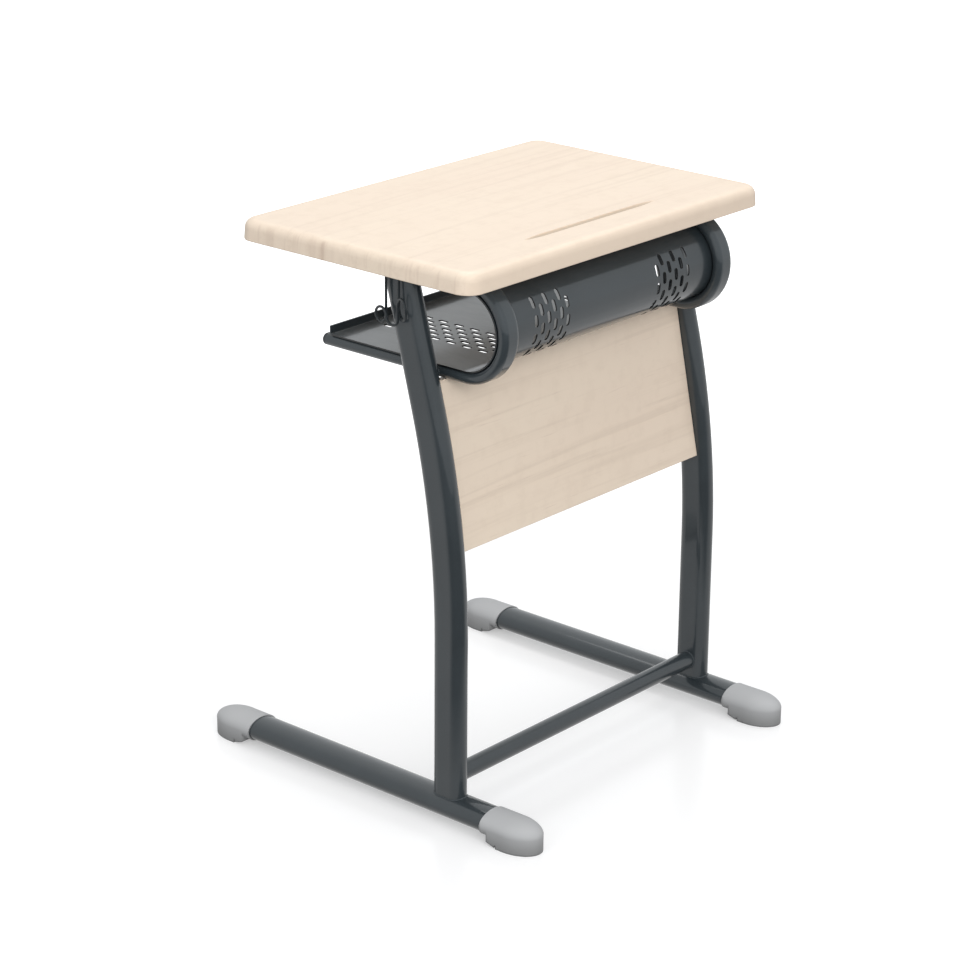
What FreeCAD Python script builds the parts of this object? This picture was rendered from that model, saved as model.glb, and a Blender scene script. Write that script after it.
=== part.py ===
import FreeCAD, Part
import math
import os
import Sketcher
from types import SimpleNamespace

Vector = FreeCAD.Vector
up = Vector(0, 0, 1)

# School desk, millimetres, +Z up. The origin is on the floor under the middle of the worktop.
# The user sits on the -Y side, +X is the user's right and the modesty panel faces +Y.

sizes = {
    # worktop board
    "deskTall": 760.0,
    "topLong": 600.0,
    "topDeep": 400.0,
    "topThick": 28.0,
    "topCorner": 24.0,
    "topRound": 13.0,
    "topLowerRound": 1.5,
    "topDraftAngle": 3.0,
    # pen groove near the far edge of the worktop
    "grooveLong": 272.0,
    "grooveRamp": 45.0,
    "grooveRadius": 5.0,
    "grooveLift": 0.5,
    "grooveSetback": 56.0,
    # legs of oval tube
    "legInset": 38.6,
    "legSetback": 62.0,
    "legDeep": 48.0,
    "legWide": 28.0,
    "legBendDrop": 506.4,
    "legBendRadius": 1190.0,
    "legLeanAngle": 15.0,
    "tubeWall": 2.0,
    # foot rails, oval tube laid flat
    "footReach": 91.0,
    "footWide": 50.0,
    "footTall": 31.5,
    "footAxis": 22.0,
    "railInset": 45.0,
    # plastic foot caps
    "capGrip": 80.0,
    "capWall": 1.25,
    "capSide": 3.0,
    "capNose": 42.0,
    "capSwell": 0.1,
    "capLobe": 68.0,
    "capPad": 54.0,
    "capNotch": 2.0,
    "capNotchTall": 5.0,
    "capLobeTall": 5.5,
    "capLobeLift": 1.5,
    "slideFit": 0.2,
    # footrest bar
    "barAcross": 25.0,
    "barWall": 1.5,
    "barHeight": 60.5,
    # plates on the leg tops
    "plateThick": 3.0,
    "plateDeep": 120.0,
    "plateInner": 23.0,
    "plateOuter": 24.0,
    "plateCorner": 6.0,
    # tray frames of flat-oval tube
    "stubLong": 12.4,
    "stubRadius": 5.0,
    "armWide": 30.0,
    "armTall": 16.0,
    "armWall": 1.5,
    "armBendRadius": 62.25,
    "armBendSetback": 68.5,
    "armEndSetback": 93.0,
    "upperEndSetback": 140.0,
    # plugs in the ends of the tray frames
    "plugDepth": 12.0,
    "plugHead": 5.0,
    "plugRound": 3.0,
    # slotted tray sheet
    "sheetOverArm": 13.0,
    "sheetThick": 2.0,
    "sheetHem": 12.0,
    "lipInset": 7.5,
    "lipTall": 13.0,
    "lipBend": 2.0,
    "slotLong": 16.0,
    "slotWide": 7.0,
    "slotEdge": 77.35,
    "slotStep": 12.45,
    "slotLipGap": 32.5,
    "slotBendGap": 7.4,
    "slotTopAngle": 122.3,
    "slotStepAngle": 26.1,
    # modesty panel
    "panelThick": 16.0,
    "panelTall": 223.6,
    "panelTiltAngle": 11.7,
    "panelClear": 0.4,
    "panelForward": 1.0,
    "panelGap": 0.4,
    "panelRound": 1.0,
    # tabs behind the panel
    "tabWide": 32.0,
    "tabTall": 26.0,
    "tabThick": 3.0,
    "tabLower": 40.0,
    "tabUpper": 160.0,
    "weldGap": 0.3,
    # screws
    "screwRadius": 2.0,
    "screwFit": 0.1,
    "holeFit": 0.4,
    "screwHeadRadius": 4.2,
    "screwHead": 2.5,
    "plateScrewPlace": 46.0,
    "plateScrewBite": 16.0,
    "armScrewBite": 15.0,
    "armScrewBendGap": 21.5,
    "armScrewEndGap": 40.0,
    "armScrewAccess": 6.0,
    "panelScrewBite": 11.0,
    # bag hook of bent wire, its heights measured down from the leg tops
    "wireRadius": 1.75,
    "hookOut": 19.1,
    "hookForward": 2.5,
    "hookGap": 21.5,
    "hookDrop": 62.3,
    "hookCross": 4.0,
    "lowLoopRadius": 10.2,
    "lowLoopDrop": 53.7,
    "lowLoopSlip": 5.3,
    "lowLoopAngle": 8.0,
    "highLoopRadius": 14.0,
    "highLoopDrop": 37.4,
    "highLoopSlip": 7.5,
    "highLoopAngle": 28.0,
    # cuts run this far past what they cut
    "cutOver": 20.0,
}

slotColumns = 6
slotRows = 7
slotBendRows = 5

# Two values closer than this count as equal.
closeness = 1e-4


class Size:
    # A length or angle that carries its value and the sheet formula that gives it.
    def __init__(self, value, text):
        self.value = value
        self.text = text

    def __add__(self, other):
        other = asSize(other)
        return Size(self.value + other.value, "(%s + %s)" % (self.text, other.text))

    def __radd__(self, other):
        return asSize(other) + self

    def __sub__(self, other):
        other = asSize(other)
        return Size(self.value - other.value, "(%s - %s)" % (self.text, other.text))

    def __rsub__(self, other):
        return asSize(other) - self

    def __mul__(self, other):
        other = asSize(other)
        return Size(self.value * other.value, "(%s * %s)" % (self.text, other.text))

    def __rmul__(self, other):
        return asSize(other) * self

    def __truediv__(self, other):
        other = asSize(other)
        return Size(self.value / other.value, "(%s / %s)" % (self.text, other.text))

    def __neg__(self):
        return Size(-self.value, "(0 - %s)" % self.text)


def asSize(number):
    if isinstance(number, Size):
        return number
    return Size(float(number), repr(number))


def sine(angle):
    return Size(math.sin(math.radians(angle.value)), "sin(%s)" % angle.text)


def cosine(angle):
    return Size(math.cos(math.radians(angle.value)), "cos(%s)" % angle.text)


def fillSheet():
    sheet = doc.addObject("Spreadsheet::Sheet", "Sizes")
    for row, (name, value) in enumerate(sizes.items(), 1):
        sheet.set("A%d" % row, name)
        sheet.set("B%d" % row, str(value))
        sheet.setAlias("B%d" % row, name)
    doc.recompute()
    return SimpleNamespace(**{name: Size(sheet.get(name), "Sizes.%s" % name) for name in sizes})


# Helpers for bodies, sketches and features

def newBody(label, x=0, y=0, z=0, axis=Vector(0, 0, 1), angle=0):
    body = doc.addObject("PartDesign::Body", label)
    body.Label = label
    places = [asSize(value) for value in (x, y, z)]
    turn = asSize(angle)
    base = Vector(*[place.value for place in places])
    body.Placement = FreeCAD.Placement(base, FreeCAD.Rotation(axis, turn.value))
    for name, place in zip("xyz", places):
        body.setExpression("Placement.Base." + name, place.text)
    if turn.value != 0:
        body.setExpression("Placement.Rotation.Angle", turn.text)
    parts.append(body)
    return body


def newSketch(body, role, name, offset=0):
    sketch = body.newObject("Sketcher::SketchObject", name)
    plane = [item for item in body.Origin.OriginFeatures if item.Role == role][0]
    sketch.AttachmentSupport = [(plane, "")]
    sketch.MapMode = "FlatFace"
    lift = asSize(offset)
    sketch.AttachmentOffset = FreeCAD.Placement(Vector(0, 0, lift.value), FreeCAD.Rotation())
    sketch.setExpression("AttachmentOffset.Base.z", lift.text)
    return sketch


def dimension(sketch, kind, target, size):
    size = asSize(size)
    index = sketch.addConstraint(Sketcher.Constraint(kind, *target, size.value))
    name = "size%d" % index
    sketch.renameConstraint(index, name)
    sketch.setExpression("Constraints." + name, size.text)


def pinPoint(sketch, item, point, x, y):
    dimension(sketch, "DistanceX", (-1, 1, item, point), x)
    dimension(sketch, "DistanceY", (-1, 1, item, point), y)


def drawCircle(sketch, x, y, radius):
    centre = Vector(asSize(x).value, asSize(y).value, 0)
    item = sketch.addGeometry(Part.Circle(centre, Vector(0, 0, 1), radius.value), False)
    dimension(sketch, "Radius", (item,), radius)
    pinPoint(sketch, item, 3, x, y)


def drawEllipse(sketch, x, y, halfAcross, halfUp):
    x, y = asSize(x), asSize(y)
    centre = Vector(x.value, y.value, 0)
    flat = halfAcross.value >= halfUp.value
    long, short = (halfAcross, halfUp) if flat else (halfUp, halfAcross)
    longWay, shortWay = (Vector(1, 0, 0), Vector(0, 1, 0)) if flat else (Vector(0, 1, 0), Vector(-1, 0, 0))
    curve = Part.Ellipse(centre + longWay * long.value, centre + shortWay * short.value, centre)
    item = sketch.addGeometry(curve, False)
    sketch.exposeInternalGeometry(item)
    sketch.addConstraint(Sketcher.Constraint("Horizontal" if flat else "Vertical", item + 1))
    dimension(sketch, "Distance", (item + 1,), 2 * long)
    dimension(sketch, "Distance", (item + 2,), 2 * short)
    pinPoint(sketch, item, 3, x, y)


def drawOutline(sketch, points, arcs=None, closed=True):
    # arcs maps the number of a stretch to its centre and its turn, 1 anticlockwise and -1 clockwise.
    arcs = arcs or {}
    points = [(asSize(x), asSize(y)) for x, y in points]
    places = [Vector(x.value, y.value, 0) for x, y in points]
    count = len(points) if closed else len(points) - 1
    ends = []
    for number in range(count):
        start = places[number]
        end = places[(number + 1) % len(places)]
        if number in arcs:
            curve = arcThrough(start, end, *arcs[number])
        else:
            curve = Part.LineSegment(start, end)
        item = sketch.addGeometry(curve, False)
        forward = sketch.getPoint(item, 1).distanceToPoint(start) < sketch.getPoint(item, 2).distanceToPoint(start)
        ends.append((item, 1, 2) if forward else (item, 2, 1))
    for number, (item, first, last) in enumerate(ends):
        pinPoint(sketch, item, first, *points[number])
        if closed or number + 1 < count:
            following = ends[(number + 1) % count]
            sketch.addConstraint(Sketcher.Constraint("Coincident", item, last, following[0], following[1]))
        else:
            pinPoint(sketch, item, last, *points[number + 1])
        if number in arcs:
            pinCentre(sketch, item, places[number], places[(number + 1) % len(places)], arcs[number])


def arcThrough(start, end, x, y, turn):
    centre = Vector(asSize(x).value, asSize(y).value, 0)
    first = math.atan2(start.y - centre.y, start.x - centre.x)
    last = math.atan2(end.y - centre.y, end.x - centre.x)
    sweep = (turn * (last - first)) % (2 * math.pi)
    middle = first + turn * sweep / 2
    radius = start.distanceToPoint(centre)
    return Part.Arc(start, centre + Vector(math.cos(middle), math.sin(middle), 0) * radius, end)


def pinCentre(sketch, item, start, end, arc):
    upright = abs(end.y - start.y) > abs(end.x - start.x)
    if upright:
        dimension(sketch, "DistanceX", (-1, 1, item, 3), arc[0])
    else:
        dimension(sketch, "DistanceY", (-1, 1, item, 3), arc[1])


def drawBox(sketch, left, right, low, high):
    drawOutline(sketch, [(left, low), (right, low), (right, high), (left, high)])


def drawStadium(sketch, x, y, across, up):
    half = (across - up) / 2
    rise = up / 2
    points = [(x - half, y - rise), (x + half, y - rise), (x + half, y + rise), (x - half, y + rise)]
    drawOutline(sketch, points, {1: (x + half, y, 1), 3: (x - half, y, 1)})


def drawUprightStadium(sketch, x, y, across, up):
    half = across / 2
    rise = (up - across) / 2
    points = [(x - half, y - rise), (x + half, y - rise), (x + half, y + rise), (x - half, y + rise)]
    drawOutline(sketch, points, {0: (x, y - rise, 1), 2: (x, y + rise, 1)})


def addPad(body, sketch, length, symmetric=False, backwards=False):
    pad = body.newObject("PartDesign::Pad", sketch.Name + "Pad")
    pad.Profile = sketch
    pad.Length = length.value
    pad.setExpression("Length", length.text)
    pad.SideType = "Symmetric" if symmetric else "One side"
    pad.Reversed = backwards
    sketch.Visibility = False
    doc.recompute()
    return pad


def addPocket(body, sketch, length=None, symmetric=False, backwards=False):
    before = body.Shape.Volume
    pocket = body.newObject("PartDesign::Pocket", sketch.Name + "Pocket")
    pocket.Profile = sketch
    if length is None:
        pocket.Type = "ThroughAll"
    else:
        pocket.Length = length.value
        pocket.setExpression("Length", length.text)
    pocket.SideType = "Symmetric" if symmetric else "One side"
    pocket.Reversed = backwards
    doc.recompute()
    if body.Shape.Volume >= before:
        raise RuntimeError("nothing was cut by " + pocket.Name)
    return pocket


def addPipe(body, kind, profile, spine):
    pipe = body.newObject("PartDesign::" + kind, profile.Name + "Pipe")
    pipe.Profile = profile
    pipe.Spine = spine
    doc.recompute()
    return pipe


def addFillet(body, name, radius, chosen):
    base = body.Tip
    fillet = body.newObject("PartDesign::Fillet", name)
    edges = ["Edge%d" % number for number, edge in enumerate(base.Shape.Edges, 1) if chosen(edge)]
    fillet.Base = (base, edges)
    fillet.Radius = radius.value
    fillet.setExpression("Radius", radius.text)
    doc.recompute()
    return fillet


def isNear(first, second):
    return abs(first - second) < closeness


def liesLevel(edge, height):
    return isNear(edge.BoundBox.ZMin, height) and isNear(edge.BoundBox.ZMax, height)


def standsUpright(edge):
    return isNear(edge.BoundBox.XLength, 0) and isNear(edge.BoundBox.YLength, 0)


# Places that several pieces share

def deskPlaces(d):
    p = SimpleNamespace()
    farEdge = d.topDeep / 2
    p.underside = d.deskTall - d.topThick
    p.legTop = p.underside - d.plateThick
    p.legX = d.topLong / 2 - d.legInset
    p.legPlace = farEdge - d.legSetback
    p.bendStart = d.deskTall - d.legBendDrop
    p.bendTopPlace = p.legPlace - d.legBendRadius * (1 - cosine(d.legLeanAngle))
    p.bendTopHeight = p.bendStart + d.legBendRadius * sine(d.legLeanAngle)
    p.legTopPlace = legPlaceAt(d, p, p.legTop)
    p.armX = p.legX - d.legWide / 2 - d.stubLong - d.armWide / 2
    p.armBendPlace = farEdge - d.armBendSetback
    p.armReach = farEdge - d.armEndSetback
    p.upperReach = farEdge - d.upperEndSetback
    p.upperAxis = p.underside - d.armTall / 2
    p.armAxis = p.upperAxis - 2 * d.armBendRadius
    p.bendAxis = p.armAxis + d.armBendRadius
    p.floorLow = p.armAxis + d.armTall / 2
    p.sheetHalf = p.armX + d.sheetOverArm
    p.lipReach = p.armReach - d.lipInset
    p.footEnd = farEdge + d.footReach
    p.capStart = p.footEnd - d.capGrip
    p.noseStart = p.footEnd - d.capNose
    p.capHalfWide = d.footWide / 2 + d.capSide
    p.capHalfTall = d.footTall / 2 + d.capWall
    p.railEnd = p.footEnd - d.railInset
    placePanel(d, p)
    p.hookX = p.legX + d.hookOut
    p.hookPlace = p.legTopPlace + d.hookForward
    return p


def placePanel(d, p):
    # The panel hangs just under the tray frames, and its upper end lies in line with the legs.
    lean = sine(d.panelTiltAngle)
    rise = d.panelTall * cosine(d.panelTiltAngle)
    upperEnd = p.armAxis - d.armTall / 2 - d.panelClear - d.panelThick / 2 * lean
    p.panelHeight = upperEnd - rise
    p.panelPlace = legPlaceAt(d, p, upperEnd) + d.panelForward + d.panelTall * lean
    p.tabFace = -(d.panelThick / 2)
    p.tabBack = p.tabFace - d.tabThick
    p.tabEnd = p.legX - d.legWide / 2 - d.weldGap


def legPlaceAt(d, p, height):
    # Y of the leg's axis in its straight upper part
    return p.bendTopPlace - (height - p.bendTopHeight) * sine(d.legLeanAngle) / cosine(d.legLeanAngle)


def plateScrewSpots(d, p):
    spots = []
    for side in (-1, 1):
        for end in (-1, 1):
            spots.append((side * p.legX, p.legTopPlace + end * d.plateScrewPlace))
    return spots


def armScrewSpots(d, p):
    spots = []
    for side in (-1, 1):
        for place in (d.armScrewEndGap - p.upperReach, p.armBendPlace - d.armScrewBendGap):
            spots.append((side * p.armX, place))
    return spots


def panelScrewSpots(d, p):
    spots = []
    for side in (-1, 1):
        for height in (d.tabLower, d.tabUpper):
            spots.append((side * (p.tabEnd - d.tabWide / 2), height + d.tabTall / 2))
    return spots


# Sub-parts

def makeWorktop(d, p):
    body = newBody("worktop", z=p.underside)
    x = d.topLong / 2
    y = d.topDeep / 2
    plan = newSketch(body, "XY_Plane", "WorktopPlan")
    drawBox(plan, -x, x, -y, y)
    board = addPad(body, plan, d.topThick)
    board.TaperAngle = -d.topDraftAngle.value
    board.setExpression("TaperAngle", "-%s" % d.topDraftAngle.text)
    doc.recompute()
    top = d.topThick.value
    addFillet(body, "WorktopCorners", d.topCorner, lambda edge: isNear(edge.BoundBox.ZLength, top))
    addFillet(body, "WorktopUpperEdge", d.topRound, lambda edge: liesLevel(edge, top))
    addFillet(body, "WorktopLowerEdge", d.topLowerRound, lambda edge: liesLevel(edge, 0))
    cutPenGroove(body, d)
    plateHoles = newSketch(body, "XY_Plane", "WorktopPlateHoles")
    for spotX, spotY in plateScrewSpots(d, p):
        drawCircle(plateHoles, spotX, spotY, d.screwRadius + d.screwFit)
    addPocket(body, plateHoles, d.plateScrewBite + d.weldGap, backwards=True)
    armHoles = newSketch(body, "XY_Plane", "WorktopArmHoles")
    for spotX, spotY in armScrewSpots(d, p):
        drawCircle(armHoles, spotX, spotY, d.screwRadius + d.screwFit)
    addPocket(body, armHoles, d.armScrewBite + d.weldGap, backwards=True)


def cutPenGroove(body, d):
    # The groove is cut by a spindle that fades out at both ends.
    half = d.grooveLong / 2
    axis = d.topThick + d.grooveLift
    low = axis - d.grooveRadius
    swing = (d.grooveRamp * d.grooveRamp + d.grooveRadius * d.grooveRadius) / (2 * d.grooveRadius)
    flat = half - d.grooveRamp
    profile = newSketch(body, "XZ_Plane", "PenGrooveProfile", d.grooveSetback - d.topDeep / 2)
    points = [(-half, axis), (-flat, low), (flat, low), (half, axis)]
    drawOutline(profile, points, {0: (-flat, low + swing, 1), 2: (flat, low + swing, 1)})
    before = body.Shape.Volume
    groove = body.newObject("PartDesign::Groove", "PenGroove")
    groove.Profile = profile
    groove.ReferenceAxis = (profile, ["Edge4"])
    groove.Angle = 360
    doc.recompute()
    if body.Shape.Volume >= before:
        raise RuntimeError("the pen groove cut nothing")


def makeLeg(label, side, d, p):
    body = newBody(label, x=side * p.legX)
    spine = newSketch(body, "YZ_Plane", label + "Spine")
    end = p.legTop + d.cutOver
    points = [(p.legPlace, d.footAxis), (p.legPlace, p.bendStart), (p.bendTopPlace, p.bendTopHeight)]
    points.append((legPlaceAt(d, p, end), end))
    drawOutline(spine, points, {1: (p.legPlace - d.legBendRadius, p.bendStart, 1)}, closed=False)
    outer = newSketch(body, "XY_Plane", label + "Outer", d.footAxis)
    drawUprightStadium(outer, asSize(0), p.legPlace, d.legWide, d.legDeep)
    addPipe(body, "AdditivePipe", outer, spine)
    inner = newSketch(body, "XY_Plane", label + "Inner", d.footAxis)
    drawUprightStadium(inner, asSize(0), p.legPlace, d.legWide - 2 * d.tubeWall, d.legDeep - 2 * d.tubeWall)
    addPipe(body, "SubtractivePipe", inner, spine)
    topCut = newSketch(body, "YZ_Plane", label + "TopCut")
    reach = d.legDeep
    drawBox(topCut, p.legTopPlace - reach, p.legTopPlace + reach, p.legTop, p.legTop + 2 * d.cutOver)
    addPocket(body, topCut, 2 * d.legWide, symmetric=True)
    cope = newSketch(body, "XZ_Plane", label + "Cope")
    drawEllipse(cope, 0, d.footAxis, d.footWide / 2, d.footTall / 2)
    addPocket(body, cope, 2 * p.footEnd, symmetric=True)


def makeFootRail(label, side, d, p):
    body = newBody(label, x=side * p.legX)
    section = newSketch(body, "XZ_Plane", label + "Section")
    drawEllipse(section, 0, d.footAxis, d.footWide / 2, d.footTall / 2)
    drawEllipse(section, 0, d.footAxis, d.footWide / 2 - d.tubeWall, d.footTall / 2 - d.tubeWall)
    addPad(body, section, 2 * p.railEnd, symmetric=True)


def makeFootCap(label, side, angle, d, p):
    # The nose stands a little out of the foot below it and of the sleeve that grips the rail.
    body = newBody(label, x=side * p.legX, angle=angle)
    wide = p.capHalfWide
    addNose(body, label + "Nose", p.noseStart, d.footAxis, wide + d.capSwell, d.capNose, p.capHalfTall + d.capSwell)
    foot = newSketch(body, "XY_Plane", label + "Foot")
    drawEllipse(foot, 0, p.noseStart, wide - d.capSwell, d.capNose - d.capSwell)
    addPad(body, foot, d.footAxis)
    lobeStart = p.footEnd - d.capLobe
    padStart = p.footEnd - d.capPad
    straight = newSketch(body, "XY_Plane", label + "Straight")
    flank = wide - 2 * d.capSwell
    drawBox(straight, -flank, flank, lobeStart - d.capNotch, p.noseStart)
    addPad(body, straight, d.footAxis)
    trim = newSketch(body, "XY_Plane", label + "Trim")
    drawBox(trim, -2 * wide, 2 * wide, p.noseStart - 2 * d.capNose, lobeStart)
    addPocket(body, trim, d.deskTall, symmetric=True)
    relief = newSketch(body, "YZ_Plane", label + "Relief")
    points = [(lobeStart - d.cutOver, -d.cutOver), (padStart, -d.cutOver), (padStart, d.capLobeLift)]
    points += [(lobeStart, d.capLobeTall), (lobeStart - d.cutOver, d.capLobeTall)]
    drawOutline(relief, points)
    addPocket(body, relief, 3 * wide, symmetric=True)
    notch = newSketch(body, "YZ_Plane", label + "Notch")
    drawBox(notch, padStart, padStart + d.capNotch, -d.cutOver, d.capNotchTall)
    addPocket(body, notch, 3 * wide, symmetric=True)
    sleeve = newSketch(body, "XZ_Plane", label + "Sleeve", -p.capStart)
    drawEllipse(sleeve, 0, d.footAxis, wide, p.capHalfTall)
    addPad(body, sleeve, p.noseStart - p.capStart, backwards=True)
    bore = newSketch(body, "XZ_Plane", label + "Bore", -p.capStart)
    drawEllipse(bore, 0, d.footAxis, d.footWide / 2 + d.slideFit, d.footTall / 2 + d.slideFit)
    addPocket(body, bore, p.railEnd - p.capStart + d.slideFit)


def addNose(body, name, y, z, halfWide, halfDeep, halfTall):
    nose = body.newObject("PartDesign::AdditiveEllipsoid", name)
    plane = [item for item in body.Origin.OriginFeatures if item.Role == "XY_Plane"][0]
    nose.AttachmentSupport = [(plane, "")]
    nose.MapMode = "FlatFace"
    nose.AttachmentOffset = FreeCAD.Placement(Vector(0, y.value, z.value), FreeCAD.Rotation())
    nose.setExpression("AttachmentOffset.Base.y", y.text)
    nose.setExpression("AttachmentOffset.Base.z", z.text)
    for radius, half in (("Radius1", halfTall), ("Radius2", halfWide), ("Radius3", halfDeep)):
        setattr(nose, radius, half.value)
        nose.setExpression(radius, half.text)
    doc.recompute()


def makeFootrestBar(d, p):
    body = newBody("footrest_bar")
    section = newSketch(body, "YZ_Plane", "FootrestSection")
    drawCircle(section, p.legPlace, d.barHeight, d.barAcross / 2)
    drawCircle(section, p.legPlace, d.barHeight, d.barAcross / 2 - d.barWall)
    addPad(body, section, 2 * p.legX, symmetric=True)
    cope = newSketch(body, "XY_Plane", "FootrestCope")
    for side in (-1, 1):
        drawUprightStadium(cope, side * p.legX, p.legPlace, d.legWide, d.legDeep)
    addPocket(body, cope, d.deskTall, symmetric=True)


def makeLegPlate(label, side, d, p):
    body = newBody(label, x=side * p.legX, y=p.legTopPlace, z=p.legTop)
    plan = newSketch(body, "XY_Plane", label + "Plan")
    drawBox(plan, -side * d.plateInner, side * d.plateOuter, -d.plateDeep / 2, d.plateDeep / 2)
    for end in (-1, 1):
        drawCircle(plan, 0, end * d.plateScrewPlace, d.screwRadius + d.holeFit)
    addPad(body, plan, d.plateThick)
    reach = d.plateDeep.value / 2
    addFillet(body, label + "Corners", d.plateCorner,
              lambda edge: standsUpright(edge) and isNear(abs(edge.BoundBox.YMin), reach))


def makeTrayFrame(label, side, d, p):
    body = newBody(label, x=side * p.armX)
    spine = newSketch(body, "YZ_Plane", label + "Spine")
    points = [(-p.armReach, p.armAxis), (p.armBendPlace, p.armAxis), (p.armBendPlace, p.upperAxis)]
    points.append((-p.upperReach, p.upperAxis))
    drawOutline(spine, points, {1: (p.armBendPlace, p.bendAxis, 1)}, closed=False)
    outer = newSketch(body, "XZ_Plane", label + "Outer", p.armReach)
    drawStadium(outer, asSize(0), p.armAxis, d.armWide, d.armTall)
    addPipe(body, "AdditivePipe", outer, spine)
    inner = newSketch(body, "XZ_Plane", label + "Inner", p.armReach)
    drawStadium(inner, asSize(0), p.armAxis, d.armWide - 2 * d.armWall, d.armTall - 2 * d.armWall)
    addPipe(body, "SubtractivePipe", inner, spine)
    spots = [spotY for spotX, spotY in armScrewSpots(d, p)[:2]]
    holes = newSketch(body, "XY_Plane", label + "Holes", p.upperAxis)
    access = newSketch(body, "XY_Plane", label + "Access", p.upperAxis)
    for spotY in spots:
        drawCircle(holes, 0, spotY, d.screwRadius + d.holeFit)
        drawCircle(access, 0, spotY, d.armScrewAccess)
    addPocket(body, holes, d.armTall, backwards=True)
    addPocket(body, access, d.armTall)


def makeTrayPlug(label, side, reach, height, d, p):
    body = newBody(label, x=side * p.armX, y=-reach, z=height)
    stem = newSketch(body, "XZ_Plane", label + "Stem")
    hollow = 2 * (d.armWall + d.slideFit)
    drawStadium(stem, asSize(0), asSize(0), d.armWide - hollow, d.armTall - hollow)
    addPad(body, stem, d.plugDepth, backwards=True)
    head = newSketch(body, "XZ_Plane", label + "Head")
    drawStadium(head, asSize(0), asSize(0), d.armWide, d.armTall)
    addPad(body, head, d.plugHead)
    front = -d.plugHead.value
    addFillet(body, label + "Round", d.plugRound, lambda edge: isNear(edge.BoundBox.YMax, front))


def makeTraySheet(d, p):
    blank = doc.addObject("PartDesign::Body", "tray_sheet_blank")
    profile = newSketch(blank, "YZ_Plane", "TrayProfile")
    low = p.floorLow
    thick = d.sheetThick
    outer = d.armBendRadius - d.armTall / 2
    bendOut = d.lipBend + thick
    rear = -p.lipReach
    corner = (rear + bendOut, low + bendOut)
    bend = (p.armBendPlace, p.bendAxis)
    high = low + 2 * outer
    points = [(rear, low + d.lipTall), (rear, low + bendOut), (rear + bendOut, low), (p.armBendPlace, low)]
    points += [(p.armBendPlace, high), (p.armBendPlace - d.sheetHem, high)]
    points += [(p.armBendPlace - d.sheetHem, high - thick), (p.armBendPlace, high - thick)]
    points += [(p.armBendPlace, low + thick), (rear + bendOut, low + thick)]
    points += [(rear + thick, low + bendOut), (rear + thick, low + d.lipTall)]
    drawOutline(profile, points, {1: (*corner, 1), 3: (*bend, 1), 7: (*bend, -1), 9: (*corner, -1)})
    addPad(blank, profile, 2 * p.sheetHalf, symmetric=True)
    slots = doc.addObject("Part::Feature", "TraySlots")
    slots.Shape = Part.makeCompound(slotCutters(d, p))
    sheet = doc.addObject("Part::Cut", "tray_sheet")
    sheet.Label = "tray_sheet"
    sheet.Base = blank
    sheet.Tool = slots
    doc.recompute()
    parts.append(sheet)


def slotCutters(d, p):
    # Staggered columns of slots run along the floor and on round the bend, near both ends.
    cutters = []
    depth = 4 * d.sheetThick.value
    bendPlace = p.armBendPlace.value
    bendRadius = (d.armBendRadius - d.armTall / 2 - d.sheetThick / 2).value
    floorMiddle = p.bendAxis.value - bendRadius
    first = (d.slotLipGap - p.lipReach).value
    pitch = (bendPlace - d.slotBendGap.value - first) / slotRows
    for side in (-1, 1):
        for column in range(slotColumns):
            x = side * (p.sheetHalf - d.slotEdge - d.slotStep * column).value
            lag = 0.5 if column % 2 else 0
            for row in range(slotRows + 1 - column % 2):
                cutters.append(slotCutter(Vector(x, first + (row + lag) * pitch, floorMiddle), 0, depth, d))
            for row in range(slotBendRows):
                angle = d.slotTopAngle.value - (row + lag) * d.slotStepAngle.value
                radians = math.radians(angle)
                y = bendPlace + bendRadius * math.sin(radians)
                z = p.bendAxis.value - bendRadius * math.cos(radians)
                cutters.append(slotCutter(Vector(x, y, z), angle, depth, d))
    return cutters


def slotCutter(place, angle, depth, d):
    radius = d.slotWide.value / 2
    half = d.slotLong.value / 2 - radius
    right = [Vector(radius, -half, 0), Vector(radius, half, 0)]
    left = [Vector(-radius, half, 0), Vector(-radius, -half, 0)]
    edges = [Part.LineSegment(*right).toShape(), Part.LineSegment(*left).toShape()]
    edges.append(Part.Arc(right[1], Vector(0, half + radius, 0), left[0]).toShape())
    edges.append(Part.Arc(left[1], Vector(0, -half - radius, 0), right[0]).toShape())
    face = Part.Face(Part.Wire(Part.__sortEdges__(edges)))
    cutter = face.extrude(Vector(0, 0, depth))
    cutter.translate(Vector(0, 0, -depth / 2))
    cutter.Placement = FreeCAD.Placement(place, FreeCAD.Rotation(Vector(1, 0, 0), angle)).multiply(cutter.Placement)
    return cutter


def makeTraySpacer(label, side, d, p):
    low = p.armX + d.armWide / 2
    high = p.legX - d.legWide / 2
    body = newBody(label, y=legPlaceAt(d, p, p.armAxis), z=p.armAxis)
    circle = newSketch(body, "YZ_Plane", label + "Circle", side * low)
    drawCircle(circle, 0, 0, d.stubRadius)
    addPad(body, circle, high - low, backwards=side < 0)


def panelStance(d, p):
    return {"y": p.panelPlace, "z": p.panelHeight, "axis": Vector(1, 0, 0), "angle": d.panelTiltAngle}


def makePanel(d, p):
    body = newBody("modesty_panel", **panelStance(d, p))
    half = p.legX - d.legWide / 2 - d.panelGap
    plan = newSketch(body, "XY_Plane", "PanelPlan")
    drawBox(plan, -half, half, -d.panelThick / 2, d.panelThick / 2)
    addPad(body, plan, d.panelTall)
    tall = d.panelTall.value
    addFillet(body, "PanelEdges", d.panelRound,
              lambda edge: liesLevel(edge, 0) or liesLevel(edge, tall) or standsUpright(edge))
    holes = newSketch(body, "XZ_Plane", "PanelHoles", d.panelThick / 2)
    for x, z in panelScrewSpots(d, p):
        drawCircle(holes, x, z, d.screwRadius + d.screwFit)
    addPocket(body, holes, d.panelScrewBite + d.weldGap)


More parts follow.
